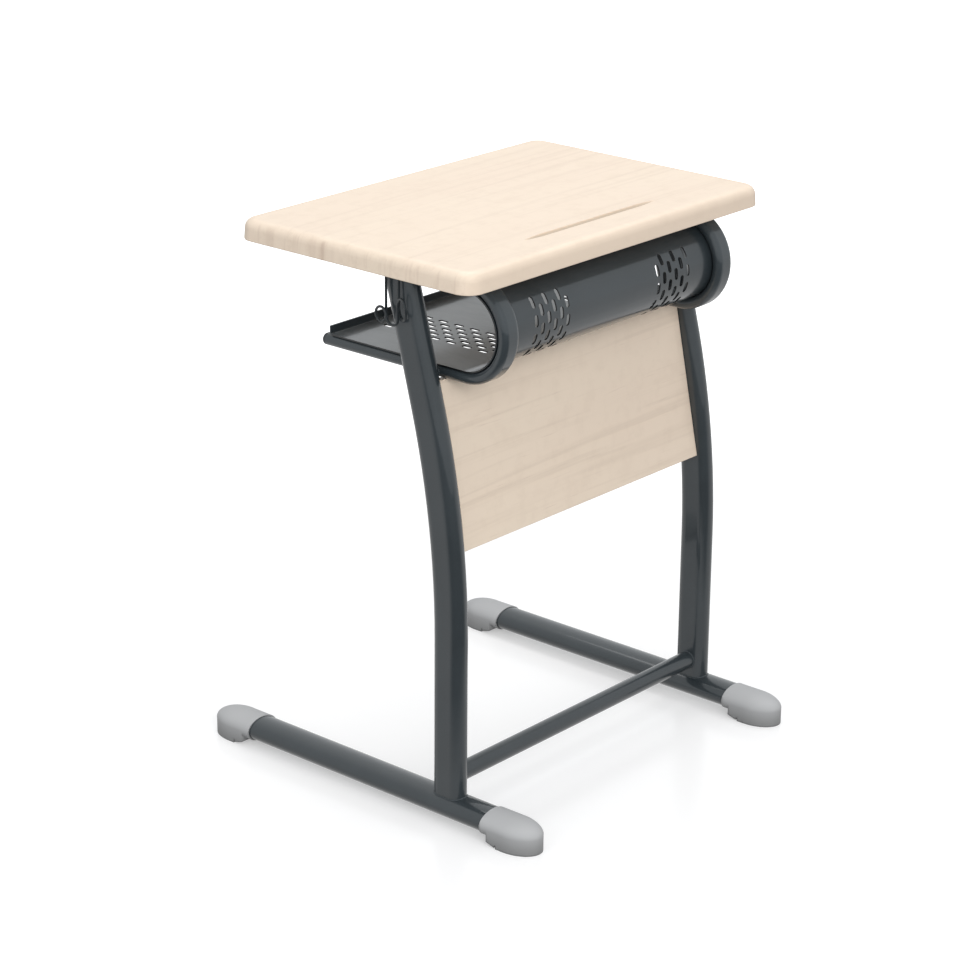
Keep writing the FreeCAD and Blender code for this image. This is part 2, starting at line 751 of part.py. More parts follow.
def makePanelTab(label, side, height, d, p):
    body = newBody(label, **panelStance(d, p))
    plan = newSketch(body, "XY_Plane", label + "Plan", height)
    drawBox(plan, side * (p.tabEnd - d.tabWide), side * p.tabEnd, p.tabBack, p.tabFace)
    addPad(body, plan, d.tabTall)
    hole = newSketch(body, "XZ_Plane", label + "Hole", -p.tabFace)
    drawCircle(hole, side * (p.tabEnd - d.tabWide / 2), height + d.tabTall / 2, d.screwRadius + d.holeFit)
    addPocket(body, hole, 4 * d.tabThick, symmetric=True)


def makeScrews(label, role, spots, seat, bite, backwards, d, place):
    # Pan-head screws: the heads lie under their seat and the shanks go through it.
    body = newBody(label, **place)
    body.AllowCompound = True
    heads = newSketch(body, role, label + "Heads", seat)
    shanks = newSketch(body, role, label + "Shanks", seat)
    for x, y in spots:
        drawCircle(heads, x, y, d.screwHeadRadius)
        drawCircle(shanks, x, y, d.screwRadius)
    addPad(body, heads, d.screwHead, backwards=not backwards)
    addPad(body, shanks, bite, backwards=backwards)


def makeAllScrews(d, p):
    plateSeat = p.legTop
    makeScrews("leg_plate_screws", "XY_Plane", plateScrewSpots(d, p), plateSeat,
               d.plateThick + d.plateScrewBite, False, d, {})
    armSeat = p.underside - d.armWall
    makeScrews("tray_frame_screws", "XY_Plane", armScrewSpots(d, p), armSeat,
               d.armWall + d.armScrewBite, False, d, {})
    makeScrews("panel_screws", "XZ_Plane", panelScrewSpots(d, p), -p.tabBack,
               d.tabThick + d.panelScrewBite, True, d, panelStance(d, p))


def arcFromTangent(start, heading, end):
    chord = end - start
    along = Vector(chord).normalize()
    side = heading - along * heading.dot(along)
    if side.Length < closeness:
        return Part.LineSegment(start, end).toShape()
    side.normalize()
    bend = math.acos(max(-1.0, min(1.0, heading.dot(along))))
    middle = (start + end) * 0.5 + side * (chord.Length / 2 * math.tan(bend / 2))
    return Part.Arc(start, middle, end).toShape()


def twoArcs(start, heading, end, leaving):
    # Two arcs that leave the start along heading, meet tangent and reach the end along leaving.
    gap = end - start
    twist = 2 * (1 - heading.dot(leaving))
    reach = gap.dot(heading + leaving)
    length = gap.dot(gap)
    if abs(twist) < closeness:
        run = length / (2 * reach)
    else:
        run = (math.sqrt(reach * reach + twist * length) - reach) / twist
    first = start + heading * run
    second = end - leaving * run
    meet = (first + second) * 0.5
    onward = (second - first).normalize()
    return [arcFromTangent(start, heading, meet), arcFromTangent(meet, onward, end)]


def makeLoop(start, angle, radius, spin, reach, d, slip):
    # One turn of wire in an upright plane. It ends beside its start, a wire's width across and slip along.
    loop = SimpleNamespace(radius=radius.value, spin=spin)
    turn = math.radians(angle.value)
    loop.outward = Vector(math.sin(turn), math.cos(turn), 0) * reach
    across = Vector(math.cos(turn), -math.sin(turn), 0) * reach
    loop.drift = across * d.hookCross.value + loop.outward * slip.value
    loop.centre = start - loop.outward * loop.radius
    return loop


def loopPoint(loop, share):
    # The place and heading after that share of the turn.
    full = 2 * math.pi
    angle = loop.spin * full * share
    ease = share - math.sin(full * share) / full
    around = loop.outward * math.cos(angle) + up * math.sin(angle)
    onward = up * math.cos(angle) - loop.outward * math.sin(angle)
    place = loop.centre + around * loop.radius + loop.drift * ease
    heading = onward * (loop.spin * full * loop.radius) + loop.drift * (1 - math.cos(full * share))
    return place, heading.normalize()


def loopEdges(loop):
    steps = 8
    edges = []
    for number in range(steps):
        start, heading = loopPoint(loop, number / steps)
        end, leaving = loopPoint(loop, (number + 1) / steps)
        edges += twoArcs(start, heading, end, leaving)
    return edges


def makeBagHook(d, p):
    # One wire: down, once round a loop, a U at the bottom, up, once round a second loop and up again.
    half = d.hookGap / 2
    rear = Vector(p.hookX.value, (p.hookPlace - half).value, 0)
    front = Vector(p.hookX.value, (p.hookPlace + half).value, 0)
    top = up * p.legTop.value
    lowStart = rear + up * (p.legTop - d.lowLoopDrop).value
    highEnd = front + up * (p.legTop - d.highLoopDrop).value
    low = makeLoop(lowStart, d.lowLoopAngle, d.lowLoopRadius, -1, 1, d, d.lowLoopSlip)
    high = makeLoop(highEnd, d.highLoopAngle, d.highLoopRadius, 1, -1, d, d.highLoopSlip)
    high.centre = high.centre - high.drift
    lowEnd = lowStart + low.drift
    highStart = highEnd - high.drift
    turnEnd = Vector(highStart.x, highStart.y, lowEnd.z)
    bottom = (lowEnd + turnEnd) * 0.5
    bottom.z = (p.legTop - d.hookDrop).value
    along = (turnEnd - lowEnd).normalize()
    edges = [Part.LineSegment(rear + top, lowStart).toShape()]
    edges += loopEdges(low)
    edges += twoArcs(lowEnd, -up, bottom, along) + twoArcs(bottom, along, turnEnd, up)
    edges.append(Part.LineSegment(turnEnd, highStart).toShape())
    edges += loopEdges(high)
    edges.append(Part.LineSegment(highEnd, front + top).toShape())
    sweepWire("bag_hook", Part.Wire(edges), rear + top, d)


def sweepWire(label, path, start, d):
    circle = Part.Circle(start, up, d.wireRadius.value)
    wire = doc.addObject("Part::Feature", label)
    wire.Label = label
    wire.Shape = path.makePipeShell([Part.Wire(circle.toShape())], True, False)
    share = wire.Shape.Volume / (path.Length * math.pi * d.wireRadius.value ** 2)
    print(label, "volume as a share of section times length", round(share, 4))
    parts.append(wire)


def makeDesk(d):
    p = deskPlaces(d)
    makeWorktop(d, p)
    for name, side in (("left", -1), ("right", 1)):
        makeLeg("leg_" + name, side, d, p)
        makeFootRail("foot_rail_" + name, side, d, p)
        makeFootCap("foot_cap_front_" + name, side, 0, d, p)
        makeFootCap("foot_cap_rear_" + name, side, 180, d, p)
        makeLegPlate("leg_plate_" + name, side, d, p)
        makeTrayFrame("tray_frame_" + name, side, d, p)
        makeTrayPlug("tray_plug_lower_" + name, side, p.armReach, p.armAxis, d, p)
        makeTrayPlug("tray_plug_upper_" + name, side, p.upperReach, p.upperAxis, d, p)
        makeTraySpacer("tray_spacer_" + name, side, d, p)
        makePanelTab("panel_tab_lower_" + name, side, d.tabLower, d, p)
        makePanelTab("panel_tab_upper_" + name, side, d.tabUpper, d, p)
    makeFootrestBar(d, p)
    makeTraySheet(d, p)
    makePanel(d, p)
    makeAllScrews(d, p)
    makeBagHook(d, p)


def checkAndExport():
    doc.recompute()
    for item in doc.Objects:
        if "Invalid" in item.State or "Error" in item.State:
            raise RuntimeError("failed object " + item.Name)
    for part in parts:
        if part.Shape.isNull() or not part.Shape.isValid():
            raise RuntimeError("bad shape " + part.Label)
    os.makedirs("parts", exist_ok=True)
    for part in parts:
        part.Shape.exportStep("parts/%s.step" % part.Label)
        box = part.Shape.BoundBox
        print(part.Label, len(part.Shape.Solids), round(part.Shape.Volume), box)


doc = FreeCAD.newDocument("SchoolDesk")
parts = []
makeDesk(fillSheet())
checkAndExport()
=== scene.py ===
import bpy
import bmesh
import math
from mathutils import Matrix, Vector


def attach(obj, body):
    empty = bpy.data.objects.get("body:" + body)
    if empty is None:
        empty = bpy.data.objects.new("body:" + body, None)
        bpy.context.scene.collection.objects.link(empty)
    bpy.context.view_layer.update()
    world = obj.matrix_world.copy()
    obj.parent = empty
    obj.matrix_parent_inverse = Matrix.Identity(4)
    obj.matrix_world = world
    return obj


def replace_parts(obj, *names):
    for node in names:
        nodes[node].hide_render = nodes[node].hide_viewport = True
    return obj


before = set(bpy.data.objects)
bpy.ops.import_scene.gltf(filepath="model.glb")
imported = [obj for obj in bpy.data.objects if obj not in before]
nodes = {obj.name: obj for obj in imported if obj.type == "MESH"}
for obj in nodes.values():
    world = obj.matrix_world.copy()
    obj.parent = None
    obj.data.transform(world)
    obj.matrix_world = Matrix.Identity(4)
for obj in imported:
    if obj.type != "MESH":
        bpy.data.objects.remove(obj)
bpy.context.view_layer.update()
print("frame loaded:", len(nodes), "nodes")


# Camera

camera = {
    "place": (2.837694, 2.414861, 1.743167),
    "yaw": 220.879,    # degrees from +X, the way it looks
    "pitch": 20.2649,    # degrees downwards
    "roll": 0.431,
    "lens": 109.33,
    "sensor": 36,
}


def placeCamera():
    yaw, pitch, roll = (math.radians(camera[name]) for name in ("yaw", "pitch", "roll"))
    ahead = Vector((math.cos(yaw) * math.cos(pitch), math.sin(yaw) * math.cos(pitch), -math.sin(pitch)))
    level = Vector((math.sin(yaw), -math.cos(yaw), 0))
    upright = level.cross(ahead)
    right = level * math.cos(roll) + upright * math.sin(roll)
    up = upright * math.cos(roll) - level * math.sin(roll)
    data = bpy.data.cameras.new("deskCamera")
    data.sensor_width = camera["sensor"]
    data.lens = camera["lens"]
    viewer = bpy.data.objects.new("deskCamera", data)
    turn = Matrix((right, up, -ahead)).transposed().to_4x4()
    viewer.matrix_world = Matrix.Translation(camera["place"]) @ turn
    bpy.context.collection.objects.link(viewer)
    bpy.context.scene.camera = viewer


placeCamera()
print("camera placed")


# Shader expressions

class Flow:
    # A socket that takes part in arithmetic: each operator adds its Math node.
    def __init__(self, finish, socket):
        self.finish = finish
        self.socket = socket

    def work(self, operation, first, second):
        return self.finish.node("ShaderNodeMath", {"operation": operation}, {0: first, 1: second})

    def __add__(self, other):
        return self.work("ADD", self, other)

    def __radd__(self, other):
        return self.work("ADD", other, self)

    def __sub__(self, other):
        return self.work("SUBTRACT", self, other)

    def __rsub__(self, other):
        return self.work("SUBTRACT", other, self)

    def __mul__(self, other):
        return self.work("MULTIPLY", self, other)

    def __rmul__(self, other):
        return self.work("MULTIPLY", other, self)

    def clipped(self):
        return self.finish.node("ShaderNodeClamp", {}, {0: self})


class Finish:
    # The nodes of one material or world
    def __init__(self, owner):
        self.owner = owner
        owner.use_nodes = True
        self.tree = owner.node_tree
        self.tree.nodes.clear()

    def node(self, kind, settings, sockets, output=0):
        made = self.tree.nodes.new(kind)
        for name, value in settings.items():
            setattr(made, name, value)
        for name, value in sockets.items():
            if isinstance(value, Flow):
                self.tree.links.new(value.socket, made.inputs[name])
            else:
                made.inputs[name].default_value = value
        return Flow(self, made.outputs[output]) if made.outputs else None

    def here(self):
        # The desk's own coordinates, in metres
        return self.node("ShaderNodeTexCoord", {}, {}, "Object")

    def place(self, scale):
        return self.node("ShaderNodeMapping", {}, {"Vector": self.here(), "Scale": scale})

    def normal(self):
        return self.node("ShaderNodeNewGeometry", {}, {}, "Normal")

    def axis(self, vector, name):
        return self.node("ShaderNodeSeparateXYZ", {}, {0: vector}, name)

    def vector(self, operation, *values, output="Vector"):
        return self.node("ShaderNodeVectorMath", {"operation": operation}, dict(enumerate(values)), output)

    def dot(self, first, second):
        return self.vector("DOT_PRODUCT", first, second, output="Value")

    def noise(self, row, vector=None, output=0):
        # A row holds scale, detail and roughness.
        sockets = dict(zip(("Scale", "Detail", "Roughness"), row))
        sockets["Vector"] = vector or self.here()
        return self.node("ShaderNodeTexNoise", {}, sockets, output)

    def ramp(self, value, low, high):
        sockets = {"Value": value, "From Min": low, "From Max": high}
        return self.node("ShaderNodeMapRange", {"interpolation_type": "SMOOTHSTEP"}, sockets)

    def blend(self, factor, first, second, mode="MIX"):
        settings = {"data_type": "RGBA", "blend_type": mode}
        return self.node("ShaderNodeMix", settings, {0: factor, 6: first, 7: second}, 2)

    def layer(self, tone, pattern, row, over, share=1.0):
        # The colour lies over the tone where the pattern climbs through the row's span.
        amount = self.ramp(pattern, *row["span"]) * (row["amount"] * share)
        return self.blend(amount, tone, over)

    def shaded(self, tone, shade):
        return self.blend(1.0, tone, (shade, shade, shade, 1.0), "MULTIPLY")

    def grey(self, level):
        return self.blend(level, (0, 0, 0, 1), (1, 1, 1, 1))

    def bump(self, height, row, **sockets):
        # A row holds distance and strength.
        sockets.update({"Height": height, "Distance": row[0], "Strength": row[1]})
        return self.node("ShaderNodeBump", {}, sockets)

    def done(self, sockets):
        shader = self.node("ShaderNodeBsdfPrincipled", {}, sockets)
        self.node("ShaderNodeOutputMaterial", {}, {"Surface": shader})
        return self.owner


def newFinish(name):
    return Finish(bpy.data.materials.new(name))


def colour(red, green, blue):
    # A colour as it looks on screen, 0 to 255, turned into the linear one that shaders take.
    shades = []
    for level in (red, green, blue):
        share = level / 255
        shades.append(share / 12.92 if share <= 0.04045 else ((share + 0.055) / 1.055) ** 2.4)
    return (*shades, 1.0)


# Boards: pale maple laminate

board = {
    "pale": colour(247, 230, 209),
    "warm": colour(243, 223, 203),
    "line": colour(214, 193, 172),
    "streak": colour(188, 158, 138),
    "grooveShadeTone": colour(203, 187, 168),
    "topBoard": {"shade": 1.0, "figure": 0.35},
    # painted shade: the panel's copy of the board is multiplied a little darker
    "panelBoard": {"shade": 0.97, "figure": 0.55},
    "drift": (1.6, 2.0, 0.5),
    "driftScale": (0.5, 1.6, 1.6),
    "sway": (0.0, 0.05, 0.05),
    "cloud": {
        "noise": (7.0, 3.0, 0.5), "stretch": 0.25, "bent": True, "figured": False,
        "span": (0.3, 0.7), "amount": 0.6, "colour": "warm",
    },
    "lines": {
        "noise": (95.0, 2.0, 0.55), "stretch": 0.02, "bent": True, "figured": True,
        "span": (0.5, 0.72), "amount": 0.5, "colour": "line",
    },
    "veins": {
        "noise": (34.0, 3.0, 0.6), "stretch": 0.03, "bent": True, "figured": True,
        "span": (0.58, 0.74), "amount": 0.45, "colour": "line",
    },
    "pores": {
        "noise": (420.0, 2.0, 0.5), "stretch": 0.035, "bent": False, "figured": True,
        "span": (0.66, 0.8), "amount": 0.5, "colour": "streak",
    },
    "mottle": {
        "noise": (48.0, 4.0, 0.6), "stretch": 1.0, "bent": False, "figured": False,
        "span": (0.45, 0.7), "amount": 0.12, "colour": "line",
    },
    "pitSpan": (0.6, 0.8),
    "lineHeight": 0.5,
    "bump": (0.00003, 0.6),
    "roughness": 0.42,
    "mottleRoughness": 0.1,
    "pitRoughness": 0.05,
    "ior": 1.46,
    "gloss": 0.1,
    "blur": 0.3,
    "endFacing": (0.25, 0.8),
    "endScale": (0.2, 1.0, 0.06),
    "endAmount": 0.55,
    "broad": {"noise": (28.0, 2.0, 0.5), "span": (0.56, 0.72), "amount": 0.7},
    "fine": {"noise": (120.0, 3.0, 0.6), "span": (0.5, 0.75), "amount": 0.35},
    "edgeShadeFacing": (0.2, 0.7),
    "edgeShadeAmount": 0.3,
    "groovePlace": 0.144,
    "grooveWide": (0.00004, 0.00006),    # squared distances from its middle, as in the next row
    "grooveLong": (0.019, 0.02),
    "grooveHeight": (0.7576, 0.7599),
    "grooveAmount": 0.8,
}


def endGrain(finish):
    # Upright streaks on the ends of a board, where the foil is drawn down over the edge
    facing = finish.axis(finish.normal(), "X")
    turned = finish.ramp(facing * facing, *board["endFacing"])
    along = finish.place(board["endScale"])
    broad, fine = board["broad"], board["fine"]
    streaks = finish.ramp(finish.noise(broad["noise"], along), *broad["span"]) * broad["amount"]
    threads = finish.ramp(finish.noise(fine["noise"], along), *fine["span"]) * fine["amount"]
    return turned * (streaks + threads).clipped()


def paintedEdgeShade(finish):
    # Painted shade: the board's long edges, which face along Y, are darkened towards the line colour.
    facing = finish.axis(finish.normal(), "Y")
    return finish.ramp(facing * facing, *board["edgeShadeFacing"])


def paintedGrooveShade(finish):
    # Painted shade darkens the milled groove.
    place = finish.here()
    off = finish.axis(place, "Y") - board["groovePlace"]
    along = finish.axis(place, "X")
    beside = finish.ramp(off * off, *board["grooveWide"])
    past = finish.ramp(along * along, *board["grooveLong"])
    above = finish.ramp(finish.axis(place, "Z"), *board["grooveHeight"])
    return (1.0 - beside) * (1.0 - past) * (1.0 - above)


def makeBoardFinish(name):
    # The grain runs along X. Growth lines come from stretched noise, bent by a slower one.
    finish = newFinish(name)
    values = board[name]
    place = finish.here()
    drift = finish.noise(board["drift"], finish.place(board["driftScale"]), 1)
    swing = finish.vector("MULTIPLY_ADD", drift, board["sway"], place)
    tone = board["pale"]
    patterns = {}
    for layer in ("cloud", "lines", "veins", "pores", "mottle"):
        row = board[layer]
        start = swing if row["bent"] else place
        stretched = finish.vector("MULTIPLY", start, (row["stretch"], 1.0, 1.0))
        patterns[layer] = finish.noise(row["noise"], stretched)
        share = values["figure"] if row["figured"] else 1.0
        tone = finish.layer(tone, patterns[layer], row, board[row["colour"]], share)
    tone = finish.blend(endGrain(finish) * board["endAmount"], tone, board["streak"])
    if name == "topBoard":
        # painted shade on the long edges
        tone = finish.blend(paintedEdgeShade(finish) * board["edgeShadeAmount"], tone, board["line"])
        # painted shade in the milled groove
        tone = finish.blend(paintedGrooveShade(finish) * board["grooveAmount"], tone, board["grooveShadeTone"])
    pits = finish.ramp(patterns["pores"], *board["pitSpan"])
    smooth = board["roughness"] + patterns["mottle"] * board["mottleRoughness"]
    return finish.done({
        "Base Color": finish.shaded(tone, values["shade"]),
        "Roughness": smooth - pits * board["pitRoughness"],
        "Normal": finish.bump(patterns["lines"] * board["lineHeight"] - pits, board["bump"]),
        "IOR": board["ior"],
        "Coat Weight": board["gloss"],
        "Coat Roughness": board["blur"],
    })


# Steel: anthracite powder coat

coat = {
    "base": colour(45, 52, 56),
    "clouded": colour(52, 59, 63),
    "worn": colour(104, 111, 114),
    "floorLight": colour(126, 132, 136),
    "cut": colour(18, 20, 22),
    "tube": {"gloss": 0.85, "blur": 0.07, "shade": 1.0},
    # shade paints light into the arm (1.2) and weld (1.15) copies of the coat, and shade into the wire copy
    # (0.6)
    "arm": {"gloss": 0.85, "blur": 0.07, "shade": 1.2},
    "sheet": {"gloss": 0.85, "blur": 0.12, "shade": 1.0},
    "wire": {"gloss": 0.2, "blur": 0.3, "shade": 0.6},
    "weld": {"gloss": 0.6, "blur": 0.2, "shade": 1.15},
    "cloud": {"noise": (14.0, 3.0, 0.5), "span": (0.35, 0.65), "amount": 0.6},
    "speck": {"noise": (1400.0, 1.0, 0.5), "span": (0.6, 0.8), "amount": 0.12},
    "wear": {"noise": (90.0, 3.0, 0.5), "span": (0.5, 0.7), "amount": 0.4},
    "edgeRadius": 0.0012,
    "edgeSamples": 4,
    "edgeSpan": (0.02, 0.3),
    "peel": (380.0, 2.0, 0.5),
    "bump": (0.000006, 0.5),
    "roughness": 0.34,
    "uneven": 0.05,
    "ior": 1.4,
    "bendAxis": (0.0, 0.1315, 0.6618),
    "outLeast": (0.0, 0.0, -1.0),    # never out towards the user
    "section": (0.0, 1.0, 1.0),
    "cutSpan": (0.1, 0.5),
    "lipSpan": (-0.0965, -0.0955),
    "upSpan": (0.6, 0.95),
    "floorSpan": (0.615, 0.64),
    "floorLightNoise": {"noise": (30.0, 4.0, 0.6), "span": (0.3, 0.7), "amount": 0.3},
    "floorLightScale": (1.0, 0.35, 1.0),
}


def shadeSheet(finish, tone):
    # Out of the sheet is straight down under the floor and away from the bend's axis on the roll.
    # Faces along that way, but for the lip's, are the slots' walls and cut edges, and painted shade keeps
    # them dark. The upward faces of the tray's floor get painted light, patchy with noise.
    place = finish.here()
    normal = finish.normal()
    out = finish.vector("SUBTRACT", place, coat["bendAxis"])
    out = finish.vector("MAXIMUM", out, coat["outLeast"])
    out = finish.vector("NORMALIZE", finish.vector("MULTIPLY", out, coat["section"]))
    facing = finish.dot(out, normal)
    cut = 1.0 - finish.ramp(facing * facing, *coat["cutSpan"])
    cut = cut * finish.ramp(finish.axis(place, "Y"), *coat["lipSpan"])
    floorLightNoise = coat["floorLightNoise"]
    lightPatches = finish.ramp(finish.noise(floorLightNoise["noise"], finish.place(coat["floorLightScale"])), *floorLightNoise["span"])
    level = finish.ramp(finish.axis(normal, "Z"), *coat["upSpan"])
    low = 1.0 - finish.ramp(finish.axis(place, "Z"), *coat["floorSpan"])
    floorLight = level * low * (lightPatches * floorLightNoise["amount"] + (1 - floorLightNoise["amount"]))
    return finish.blend(cut, finish.blend(floorLight, tone, coat["floorLight"]), coat["cut"])


def makeCoatFinish(name):
    values, wear = coat[name], coat["wear"]
    finish = newFinish(name + "Coat")
    peel = finish.noise(coat["peel"])
    cloud = finish.noise(coat["cloud"]["noise"])
    speck = finish.noise(coat["speck"]["noise"])
    rounded = finish.node("ShaderNodeBevel", {"samples": coat["edgeSamples"]}, {"Radius": coat["edgeRadius"]})
    edges = finish.ramp(1.0 - finish.dot(rounded, finish.normal()), *coat["edgeSpan"])
    rubbed = edges * finish.ramp(finish.noise(wear["noise"]), *wear["span"])
    tone = finish.layer(coat["base"], cloud, coat["cloud"], coat["clouded"])
    tone = finish.layer(tone, speck, coat["speck"], coat["worn"])
    tone = finish.blend(rubbed * wear["amount"], tone, coat["worn"])
    # painted light or shade for the arm, wire and weld copies
    tone = finish.shaded(tone, values["shade"])
    if name == "sheet":
        tone = shadeSheet(finish, tone)
    return finish.done({
        "Base Color": tone,
        "Roughness": coat["roughness"] + peel * coat["uneven"] + cloud * coat["uneven"],
        "Normal": finish.bump(peel, coat["bump"]),
        "IOR": coat["ior"],
        "Coat Weight": values["gloss"],
        "Coat Roughness": values["blur"],
    })


# Foot caps and tube plugs: moulded plastic

plastic = {
    "capPlastic": {"tone": colour(190, 191, 192), "roughness": 0.5},
    "plugPlastic": {"tone": colour(52, 57, 61), "roughness": 0.4},
    "cloud": (20.0, 3.0, 0.5),
    "cloudAmount": 0.25,
    "cloudShade": 0.86,
    "scuff": (45.0, 5.0, 0.65),
    "scuffSpan": (0.58, 0.75),
    "lowShade": colour(108, 108, 107),
    "lowShadeAmount": 0.62,
    "scuffShade": 0.15,
    "lowShadeTop": 0.034,
    "softEdge": 0.005,
    "softSpan": (0.026, 0.03),
    "softSamples": 8,
    "grit": (700.0, 2.0, 0.6),
    "bump": (0.00004, 0.6),
    "gritRoughness": 0.1,
    "scuffRoughness": 0.08,
    "ior": 1.49,
}


def makePlasticFinish(name):
    # Painted shade darkens the caps towards the floor, patchy with the scuff noise, and the cap's lower edges
    # are softly rounded.
    tone, roughness = plastic[name]["tone"], plastic[name]["roughness"]
    finish = newFinish(name)
    grit = finish.noise(plastic["grit"])
    cloud = finish.noise(plastic["cloud"])
    scuff = finish.ramp(finish.noise(plastic["scuff"]), *plastic["scuffSpan"])
    darker = tuple(level * plastic["cloudShade"] for level in tone[:3]) + (1.0,)
    shade = finish.blend(cloud * plastic["cloudAmount"], tone, darker)
    height = finish.axis(finish.here(), "Z")
    # painted shade towards the floor
    low = 1.0 - finish.ramp(height, 0.0, plastic["lowShadeTop"])
    shade = finish.blend(low * (scuff * plastic["scuffShade"] + plastic["lowShadeAmount"]), shade, plastic["lowShade"])
    rounding = (1.0 - finish.ramp(height, *plastic["softSpan"])) * plastic["softEdge"]
    soft = finish.node("ShaderNodeBevel", {"samples": plastic["softSamples"]}, {"Radius": rounding})
    uneven = grit * plastic["gritRoughness"] + scuff * plastic["scuffRoughness"]
    return finish.done({
        "Base Color": shade,
        "Roughness": uneven + roughness,
        "Normal": finish.bump(grit, plastic["bump"], Normal=soft),
        "IOR": plastic["ior"],
    })


def paint(names, material):
    for name in names:
        for materialSlot in nodes[name].material_slots:
            materialSlot.material = material


def named(*starts):
    return [name for name in nodes if name.startswith(starts)]


paint(["worktop"], makeBoardFinish("topBoard"))
paint(["modesty_panel"], makeBoardFinish("panelBoard"))
tubeNodes = named("leg_left", "leg_right", "leg_plate_left", "leg_plate_right", "foot_rail", "footrest")
tubeNodes += named("tray_spacer", "panel_tab")
paint(tubeNodes, makeCoatFinish("tube"))
paint(["tray_frame_left", "tray_frame_right"], makeCoatFinish("arm"))
paint(["tray_sheet"], makeCoatFinish("sheet"))
paint(["bag_hook"], makeCoatFinish("wire"))
paint(named("foot_cap"), makePlasticFinish("capPlastic"))
paint(named("tray_plug"), makePlasticFinish("plugPlastic"))
print("finishes made")


# Weld beads

bead = {
    "radius": 0.0012,
    "sides": 8,
    "step": 0.0008,
    "ripple": 0.16,
    "pitch": 0.0029,
    "endSwell": 0.02,
    "aside": (0.3, 0.5, 0.81),    # a way that no bead runs
    "legX": 0.2614,
    "legFoot": 0.138,
    "legTop": (0.0526, 0.729),    # Y and Z
    "legLean": 15,
    "legFlat": 0.01,    # half of the flat of the leg's section
    "legRound": 0.014,
    "legPoints": 64,
    "rail": (0.022, 0.025, 0.01575),    # Z of its middle, half wide, half tall
    "bar": (0.138, 0.0605, 0.0125),    # Y, Z and radius, as in the next row
    "spacer": (0.0873, 0.5995, 0.005),
    "spacerEnds": (0.2474, 0.235),
    "ringPoints": 48,
    "tabEdge": 0.0002,
    "tabRise": 0.015,
    "hook": (0.2805, 0.0551, 0.01075, 0.00175),    # X, Y, half the spread, wire radius
    "hookPoints": 24,
}


def spaced(route, closed):
    # The route walked again in even steps
    corners = [Vector(point) for point in route]
    if closed:
        corners.append(corners[0])
    lengths = [(b - a).length for a, b in zip(corners, corners[1:])]
    count = max(4, round(sum(lengths) / bead["step"]))
    points, leg, walked = [], 0, 0.0
    for index in range(count if closed else count + 1):
        wanted = sum(lengths) * index / count
        while leg < len(lengths) - 1 and walked + lengths[leg] < wanted:
            walked += lengths[leg]
            leg += 1
        share = min(1.0, (wanted - walked) / lengths[leg])
        points.append(corners[leg].lerp(corners[leg + 1], share))
    return points


def addBead(mesh, route, closed=True):
    # A rippled roll of weld metal along the route, drawn in at open ends
    points = spaced(route, closed)
    count = len(points)
    rings = []
    for index, point in enumerate(points):
        before = points[index - 1] if closed or index else point
        after = points[(index + 1) % count] if closed or index < count - 1 else point
        along = (after - before).normalized()
        across = along.cross(Vector(bead["aside"])).normalized()
        over = along.cross(across)
        swell = 1 + bead["ripple"] * math.sin(2 * math.pi * index * bead["step"] / bead["pitch"])
        if not closed:
            swell *= math.sqrt(max(bead["endSwell"], 1 - (2 * index / (count - 1) - 1) ** 4))
        ring = []
        for side in range(bead["sides"]):
            angle = 2 * math.pi * side / bead["sides"]
            spoke = across * math.cos(angle) + over * math.sin(angle)
            ring.append(mesh.verts.new(point + spoke * bead["radius"] * swell))
        rings.append(ring)
    joinRings(mesh, rings, closed)
    if not closed:
        mesh.faces.new(rings[0])
        mesh.faces.new(rings[-1])


def joinRings(mesh, rings, closed=False):
    followers = rings[1:] + rings[:1] if closed else rings[1:]
    for first, second in zip(rings, followers):
        for index in range(len(first)):
            after = (index + 1) % len(first)
            face = mesh.faces.new((first[index], first[after], second[after], second[index]))
            face.smooth = True


def finishPiece(name, mesh, material):
    bmesh.ops.recalc_face_normals(mesh, faces=mesh.faces)
    data = bpy.data.meshes.new(name)
    mesh.to_mesh(data)
    mesh.free()
    data.materials.append(material)
    piece = bpy.data.objects.new(name, data)
    bpy.context.collection.objects.link(piece)
    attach(piece, "root")
    return piece


def legOutline(side, lean=0.0):
    # Points around the flat-sided section of a leg, from its middle
    points = []
    for index in range(bead["legPoints"]):
        angle = 2 * math.pi * index / bead["legPoints"]
        flat = bead["legFlat"] * (1 if math.sin(angle) >= 0 else -1)
        x = bead["legRound"] * math.cos(angle)
        y = (bead["legRound"] * math.sin(angle) + flat) / math.cos(math.radians(lean))
        points.append((side * bead["legX"] + x, y))
    return points


def makeFootWeld(mesh, side):
    # Where the leg's outline meets the round of the rail
    axis, halfWide, halfTall = bead["rail"]
    route = []
    for x, y in legOutline(side):
        share = (x - side * bead["legX"]) / halfWide
        route.append((x, bead["legFoot"] + y, axis + halfTall * math.sqrt(1 - share * share)))
    addBead(mesh, route)


def makeTopWeld(mesh, side):
    place, height = bead["legTop"]
    addBead(mesh, [(x, place + y, height) for x, y in legOutline(side, bead["legLean"])])


def makeRingWeld(mesh, x, ring, bend=0.0):
    # Around the end of a round bar. With a bend, the bead follows the leg's rounded side.
    place, height, radius = ring
    route = []
    for index in range(bead["ringPoints"]):
        angle = 2 * math.pi * index / bead["ringPoints"]
        y = radius * math.cos(angle)
        past = max(0.0, abs(y) - bead["legFlat"])
        drop = bead["legRound"] - math.sqrt(bead["legRound"] ** 2 - past * past)
        route.append((x + bend * drop, place + y, height + radius * math.sin(angle)))
    addBead(mesh, route)


